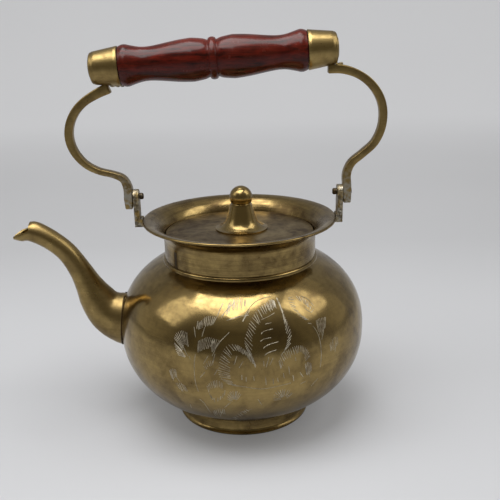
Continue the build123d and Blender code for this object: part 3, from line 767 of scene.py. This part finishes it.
class TEAPOT_OT_spout(bpy.types.Operator):
    """Draw the hollow spout along its S and cut its beak open"""
    bl_idname = "teapot.spout"
    bl_label = "Spout"

    def execute(self, context):
        stations = smooth_line(SPOUT, 5)
        x, z, climb, high, wide = stations[0]
        deselect()
        bpy.ops.mesh.primitive_circle_add(vertices=56, radius=MM, location=(0, 0, 0))
        piece = start_edit("drawn_spout")
        set_section(x, z, climb - 90, high / 2, wide / 2)
        sweep_along(stations)
        select_all()
        bpy.ops.mesh.normals_make_consistent(inside=False)
        for (x0, z0), (x1, z1) in zip(BEAK_LINE, BEAK_LINE[1:]):
            select_all()
            bpy.ops.mesh.bisect(
                plane_co=(x0 * MM, 0, z0 * MM), plane_no=(z0 - z1, 0, x1 - x0))
        select_all()
        bpy.ops.mesh.bisect(plane_co=(BEAK_LINE[0][0] * MM, 0, 0), plane_no=(1, 0, 0))

        def above_beak(face):
            spot = face.center / MM
            for (x0, z0), (x1, z1) in zip(BEAK_LINE, BEAK_LINE[1:]):
                if x1 <= spot.x <= x0:
                    return spot.z > z0 + (z1 - z0) * (spot.x - x0) / (x1 - x0)
            return False

        select_parts(piece, "FACE", "polygons", above_beak)
        bpy.ops.mesh.delete(type="FACE")
        leave_edit()
        apply_modifier(
            piece, "SOLIDIFY", thickness=SPOUT_SHEET * MM, offset=-1, use_even_offset=True)
        smooth_by_angle(piece, 40)
        finish_piece(piece, "pot", "spout_brass", "spout", "spout")
        return {"FINISHED"}


class TEAPOT_OT_lid(bpy.types.Operator):
    """Turn the sunk lid and its knob"""
    bl_idname = "teapot.lid"
    bl_label = "Lid and knob"

    def execute(self, context):
        radius = sizes().lid_radius / MM
        edge, crown = LID_LOW.z, LID_HIGH.z
        top_edge = edge + 1.0
        dome = crown - top_edge
        top = [(radius * i / 12, crown - dome * (i / 12) ** 2) for i in range(12)]
        profile = top + [
            (radius - 0.5, top_edge), (radius - 0.12, top_edge - 0.2), (radius, edge + 0.5),
            (radius - 0.2, edge), (radius * 0.9, edge), (0, edge + dome)]
        piece = spin_piece("sunk_lid", profile)
        finish_piece(piece, "lid", "lid_brass", "lid", "lid_plate")

        high = sizes().knob_height / MM
        base, waist, ball = crown, crown + 12.9, 5.7
        middle = base + high - ball
        bell = smooth_line([
            (13.2, base + 0.6), (10.9, base + 1.1), (8.8, base + 2.8), (7.4, base + 5.6),
            (6.3, base + 9.2), (5.4, waist - 0.4)])
        knob = [(0, base - 0.6), (13.0, base - 0.6), (13.2, base)] + bell
        knob += [(4.9, waist - 0.25), (4.75, waist), (4.9, waist + 0.3)]
        start = math.asin((waist + 0.4 - middle) / ball)
        knob += [(ball * math.cos(a), middle + ball * math.sin(a))
                 for a in (start + rise for rise in turns(QUARTER_TURN - start, 22))]
        piece = spin_piece("turned_knob", knob, steps=96, sharp=50)
        place(piece, Matrix.Translation((KNOB_X * MM, 0, 0)))
        finish_piece(piece, "lid", "turned_brass", "knob", "lid_knob")
        return {"FINISHED"}


class TEAPOT_OT_grip(bpy.types.Operator):
    """Turn the wooden grip with its bead, swells and flanges"""
    bl_idname = "teapot.grip"
    bl_label = "Wooden grip"

    def execute(self, context):
        half = smooth_line([
            (8.4, 2.3), (9.1, 4.2), (9.75, 8.6), (9.8, 11.0), (9.3, 17.0), (8.2, 25.0),
            (7.7, 30.0), (7.9, 34.0), (8.9, 38.2), (9.5, 40.4), (9.45, 42.0), (8.9, 43.6)], 4)
        bead = [(8.5 + 1.1 * math.cos(a), 1.9 * math.sin(a))
                for a in (math.pi * (i / 10 - 0.5) for i in range(11))]
        lower = [(r, -z) for r, z in reversed(half)]
        tenon = [(TENON_RADIUS, GRIP_HALF), (TENON_RADIUS, TENON_END), (0, TENON_END)]
        profile = [(r, -z) for r, z in reversed(tenon)] + lower + bead + half + tenon
        piece = spin_piece("turned_grip", profile, steps=112, sharp=38)
        place(piece, GRIP_PLACE)
        finish_piece(piece, "handle", "lacquered_wood", "wood", "wooden_grip")
        return {"FINISHED"}


class TEAPOT_OT_ferrules(bpy.types.Operator):
    """Turn the two tapered ferrules and their end caps"""
    bl_idname = "teapot.ferrules"
    bl_label = "Ferrules"

    def execute(self, context):
        end, crown = FERRULE_LENGTH, 1.45
        cup = [(8.2, 0.0), (8.8, -0.05), (9.1, 0.3)]
        cup += [(9.1 - 1.6 * i / 8, 0.3 + (end - 1.9) * i / 8) for i in range(1, 9)]
        cup += [(7.3 - crown + crown * math.cos(a), end - crown + crown * math.sin(a))
                for a in turns(QUARTER_TURN, 6)]
        cup += [(5.0, end), (5.0, end - 0.9), (6.2, end - 0.9), (8.0, 1.2)]
        cap = [(0, end - 1.1), (5.0, end - 1.1), (5.0, end + 0.1), (4.85, end + 0.35),
               (4.5, end + 0.5), (2.0, end + 0.5), (0, end + 0.5)]
        for turn, name in ((math.pi, "left"), (0, "right")):
            piece = spin_piece(name + "_cup", cup, steps=96, closed=True, sharp=50)
            disc = spin_piece(name + "_disc", cap, steps=64)
            seat = (GRIP_PLACE @ Matrix.Rotation(turn, 4, "X")
                    @ Matrix.Translation((0, 0, FERRULE_START * MM)))
            place(piece, seat)
            place(disc, seat)
            finish_piece(piece, "handle", "ferrule_brass", "ferrule", name + "_ferrule")
            finish_piece(disc, "handle", "ferrule_brass", "ferrule", name + "_ferrule_cap")
        return {"FINISHED"}


class TEAPOT_OT_arms(bpy.types.Operator):
    """Bend the two bars that carry the grip"""
    bl_idname = "teapot.arms"
    bl_label = "Handle bars"

    def execute(self, context):
        for name, path in (("left", LEFT_ARM), ("right", RIGHT_ARM)):
            line = smooth_line(path, 5)
            stations = []
            last = len(line) - 1
            turn = None
            for i, (x, z, thick) in enumerate(line):
                before, after = line[max(i - 1, 0)], line[min(i + 1, last)]
                heading = math.degrees(math.atan2(after[1] - before[1], after[0] - before[0]))
                if turn is not None:
                    heading += 360 * round((turn - heading) / 360)
                turn = heading
                stations.append((x, z, -heading, thick, 1))
            x, z, tilt, thick, _ = stations[0]
            piece = start_square(name + "_bar")
            set_section(x, z, tilt + 90, thick, sizes().arm_width / MM)
            sweep_along(stations)
            select_all()
            bpy.ops.mesh.normals_make_consistent(inside=False)
            leave_edit()
            apply_modifier(piece, "BEVEL", width=0.75 * MM, segments=3, limit_method="ANGLE",
                           angle_limit=math.radians(50))
            smooth_by_angle(piece, 40)
            finish_piece(piece, "handle", "cast_brass", "bar", name + "_arm")
        return {"FINISHED"}


class TEAPOT_OT_brackets(bpy.types.Operator):
    """Finish the brackets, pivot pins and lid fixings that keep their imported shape"""
    bl_idname = "teapot.brackets"
    bl_label = "Brackets and pins"

    def execute(self, context):
        kept = {"left_lug": "solder", "right_lug": "solder", "left_pivot_pin": "pin",
                "right_pivot_pin": "pin", "lid_skirt": "lid", "knob_washer": "steel",
                "knob_screw": "steel"}
        for node, look in kept.items():
            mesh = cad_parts[node].data
            mesh.materials.clear()
            mesh.materials.append(finish(look))
        return {"FINISHED"}


class TEAPOT_OT_solder(bpy.types.Operator):
    """Run the solder: lumps at the brackets and bars, a line round the spout, the collar's seam"""
    bl_idname = "teapot.solder"
    bl_label = "Solder and seams"

    def execute(self, context):
        hand = random.Random(5)

        def lumps(name, body, spots):
            deselect()
            beads = []
            for x, y, z, wide, deep, high in spots:
                bpy.ops.mesh.primitive_ico_sphere_add(
                    subdivisions=3, radius=MM, location=(x * MM, y * MM, z * MM),
                    rotation=(0, hand.uniform(-0.5, 0.5), 0), scale=(wide, deep, high))
                beads.append(context.object)
            for bead in beads:
                bead.select_set(True)
            bpy.ops.object.join()
            piece = context.object
            bpy.ops.object.transform_apply(location=True, rotation=True, scale=True)
            piece.name = piece.data.name = name
            smooth_by_angle(piece, 60)
            finish_piece(piece, body, "soldered_brass", "solder")

        for name, out in (("left", -1), ("right", 1)):
            low, high = box_mm(name + "_lug")
            inner, outer = (high.x, low.x) if out < 0 else (low.x, high.x)
            middle = (low.y + high.y) / 2
            face = outer - out * 1.1
            beads = [(inner + out * 1.2, middle + shift, low.z + 1.2, 1.5, 1.3, 0.9)
                     for shift in (-1.8, 0.1, 1.9)]
            beads += [(outer - out * 1.0, middle, low.z + 2.1, 1.0, 2.4, 1.3),
                      (face, low.y + 0.5, low.z + 4.6, 0.9, 0.8, 1.5),
                      (face, low.y + 0.4, low.z + 7.4, 0.8, 0.6, 1.2),
                      (face, high.y - 0.4, low.z + 5.4, 0.9, 0.7, 1.8)]
            lumps(name + "_rim_solder", "pot", beads)
            low, high = box_mm(name + "_arm")
            edge, sink = (high.x, 0.4) if out < 0 else (low.x, 0.2)
            seat, under = edge + out * 3.6, high.z - sink
            lumps(name + "_bar_solder", "handle", [
                (seat + shift, depth, under + rise, 1.5, 1.3, 0.8)
                for shift, depth, rise in BAR_BEADS])

        seam = start_square("collar_seam")
        bpy.ops.transform.resize(value=(SEAM_THICK, SEAM_WIDE, 1), center_override=(0, 0, 0))
        extrude((0, 0, SEAM_HIGH * MM))
        leave_edit()
        reach = sizes().collar_radius / MM - 0.13
        place(seam, Matrix.Rotation(math.radians(SEAM_TURN), 4, "Z")
              @ Matrix.Translation(Vector((reach, 0, SEAM_MIDDLE)) * MM))
        smooth_by_angle(seam, 40)
        finish_piece(seam, "pot", "spun_brass", "seam")

        line = round_curve("spout_root", 0.5 * MM, 2)
        spline = line.splines.new("POLY")
        spline.use_cyclic_u = True
        ring = turns(FULL_TURN, 48, 0, 47)
        spline.points.add(len(ring) - 1)
        for point, turn in zip(spline.points, ring):
            spots = []
            for x, z, climb, high, wide in smooth_line(SPOUT, 5)[:SPOUT_ROOT_STATIONS]:
                tilt = math.radians(climb)
                up, across = high / 2 * math.cos(turn), wide / 2 * math.sin(turn)
                spots.append(Vector((x + up * math.sin(tilt), across, z + up * math.cos(tilt))))
            nearest = min(spots, key=lambda spot: abs(
                math.hypot(spot.x, spot.y) - bulb_radius_at(spot.z)))
            point.co = (*(nearest * MM), 1)
        piece = mesh_from_curve("spout_root_solder", line)
        finish_piece(piece, "pot", "soldered_brass", "seam")
        return {"FINISHED"}


class TEAPOT_OT_engraving(bpy.types.Operator):
    """Cut the foliage into the front of the bulb"""
    bl_idname = "teapot.engraving"
    bl_label = "Engraving"

    def execute(self, context):
        hand = random.Random(11)
        strokes = [smooth_line(points, 3) if len(points) > 2 else points for points in CUT_LINES]
        for first, second, count in HATCHED_LEAVES:
            edge, rib = smooth_line(first, 4), smooth_line(second, 4)
            for i in range(count):
                share = (i + hand.uniform(-0.15, 0.15)) / (count - 1)
                tip, root = along(edge, share), along(rib, share + hand.uniform(-0.02, 0.02))
                reach = hand.uniform(0.82, 1.08)
                strokes.append([tip, tuple(t + (r - t) * reach for t, r in zip(tip, root))])
        cuts = round_curve("cuts", sizes().stroke / 2, 1)
        cuts.use_fill_caps = True
        half = sizes().stroke / 2 / MM
        for points in strokes:
            steps = max(4, len(points))
            line = [along(points, i / (steps - 1)) for i in range(steps)]
            spline = cuts.splines.new("POLY")
            spline.points.add(steps - 1)
            weight = hand.uniform(0.7, 1.05)
            for i, (angle, height) in enumerate(line):
                broad = weight * (0.6 if i in (0, steps - 1) else 1.0)
                spline.points[i].co = (*on_bulb(angle, height, half * broad - ENGRAVING_LIFT), 1)
                spline.points[i].radius = broad
        piece = mesh_from_curve("cut_foliage", cuts)
        finish_piece(piece, "pot", "engraved_brass", "cut")
        return {"FINISHED"}


class TEAPOT_OT_stage(bpy.types.Operator):
    """Set the paper sweep, the soft boxes and the camera"""
    bl_idname = "teapot.stage"
    bl_label = "Stage"

    def execute(self, context):
        floor = start_square("paper_sweep", 1)
        bpy.ops.transform.resize(value=(*PAPER_SIZE, 1), center_override=(0, 0, 0))
        bpy.ops.transform.translate(value=(0, PAPER_MIDDLE, -PAPER_GAP))
        select_parts(floor, "EDGE", "edges", lambda edge: all(
            floor.data.vertices[v].co.y > PAPER_EDGE for v in edge.vertices))
        before = (0.0, 0.0)
        for angle in turns(QUARTER_TURN, 8, 1):
            after = (PAPER_BEND * math.sin(angle), PAPER_BEND * (1 - math.cos(angle)))
            extrude((0, after[0] - before[0], after[1] - before[1]))
            before = after
        extrude((0, 0, PAPER_RISE))
        leave_edit()
        smooth_by_angle(floor, 60)
        material, tree, shader, spot = new_material("Pale matt paper")
        shade = remap(tree, noise(tree, spot, 400, detail=2), 0.3, 0.7)
        paper = tone("floor")
        darker = tuple(0.94 * c for c in paper[:3]) + (1.0,)
        path = add_node(tree, "ShaderNodeLightPath")
        seen = combine(tree, "MAXIMUM", path.outputs["Is Camera Ray"],
                       combine(tree, "MULTIPLY", path.outputs["Is Glossy Ray"], 0.55))
        depth = add_node(tree, "ShaderNodeSeparateXYZ", inputs={0: spot}).outputs[1]
        lift = remap(tree, depth, 0.3, 1.0, 0.14, 0.45)
        feed(tree, shader, {
            "Base Color": blend_colour(tree, shade, darker, paper), "Roughness": 0.85,
            "Specular IOR Level": 0.2, "Emission Color": from_hex("F0F1F4"),
            "Emission Strength": combine(tree, "MULTIPLY", seen, lift)})
        floor.data.materials.append(material)

        for name, (spot, size, power) in SOFTBOXES.items():
            lamp = bpy.data.lights.new(name, "AREA")
            lamp.shape = "RECTANGLE"
            lamp.size, lamp.size_y = size
            lamp.energy = power
            box = bpy.data.objects.new(name, lamp)
            bpy.context.scene.collection.objects.link(box)
            box.location = spot
            aim = SOFTBOX_AIM - Vector(spot)
            box.rotation_euler = aim.to_track_quat("-Z", "Y").to_euler()

        world = bpy.data.worlds.new("soft_room")
        context.scene.world = world
        world.use_nodes = True
        tree = world.node_tree
        tree.nodes.clear()
        way = add_node(tree, "ShaderNodeTexCoord").outputs["Generated"]
        parts = add_node(tree, "ShaderNodeSeparateXYZ", inputs={0: way})
        behind_camera = remap(tree, parts.outputs[1], 0.25, -0.65)
        height = remap(tree, parts.outputs[2], 0.95, 0.55)
        dark = combine(tree, "MULTIPLY", behind_camera, height)
        sky = blend_colour(tree, dark, from_hex("B4B2AE"), from_hex("6E6A60"))
        glow = add_node(tree, "ShaderNodeBackground", inputs={"Color": sky, "Strength": 0.9})
        add_node(tree, "ShaderNodeOutputWorld", inputs={"Surface": glow.outputs[0]})

        eye = bpy.data.cameras.new("photo_camera")
        eye.lens, eye.sensor_width = CAMERA_LENS, CAMERA_SENSOR
        eye.shift_x, eye.shift_y = CAMERA_SHIFT
        eye.clip_start = 0.01
        camera = bpy.data.objects.new("photo_camera", eye)
        bpy.context.scene.collection.objects.link(camera)
        aim = (CAMERA_AIM - CAMERA_PLACE).to_track_quat("-Z", "Y").to_matrix().to_4x4()
        roll = Matrix.Rotation(math.radians(CAMERA_ROLL), 4, "Z")
        camera.matrix_world = Matrix.Translation(CAMERA_PLACE) @ aim @ roll
        context.scene.camera = camera
        context.scene.view_settings.view_transform = "Standard"
        return {"FINISHED"}


class TEAPOT_PT_panel(bpy.types.Panel):
    """Lists the pieces of the teapot, its sizes and its colours"""
    bl_idname = "TEAPOT_PT_panel"
    bl_label = "Engraved Brass Teapot"
    bl_space_type = "VIEW_3D"
    bl_region_type = "UI"
    bl_category = "Teapot"

    def draw(self, context):
        for piece in STEPS:
            self.layout.operator(piece.bl_idname)
        for group in (context.scene.teapot_sizes, context.scene.teapot_colours):
            column = self.layout.column(align=True)
            for key in group.__annotations__:
                column.prop(group, key)


STEPS = (TEAPOT_OT_bulb, TEAPOT_OT_foot_and_collar, TEAPOT_OT_spout, TEAPOT_OT_lid, TEAPOT_OT_grip,
         TEAPOT_OT_ferrules, TEAPOT_OT_arms, TEAPOT_OT_brackets, TEAPOT_OT_solder,
         TEAPOT_OT_engraving, TEAPOT_OT_stage)
CLASSES = (TeapotSizes, TeapotColours, *STEPS, TEAPOT_PT_panel)


def register():
    for cls in CLASSES:
        bpy.utils.register_class(cls)
    bpy.types.Scene.teapot_sizes = bpy.props.PointerProperty(type=TeapotSizes)
    bpy.types.Scene.teapot_colours = bpy.props.PointerProperty(type=TeapotColours)


def unregister():
    del bpy.types.Scene.teapot_colours
    del bpy.types.Scene.teapot_sizes
    for cls in reversed(CLASSES):
        bpy.utils.unregister_class(cls)


def main():
    register()
    bpy.ops.teapot.bulb()
    bpy.ops.teapot.foot_and_collar()
    bpy.ops.teapot.spout()
    bpy.ops.teapot.lid()
    bpy.ops.teapot.grip()
    bpy.ops.teapot.ferrules()
    bpy.ops.teapot.arms()
    bpy.ops.teapot.brackets()
    bpy.ops.teapot.solder()
    bpy.ops.teapot.engraving()
    bpy.ops.teapot.stage()


if __name__ == "__main__":
    main()
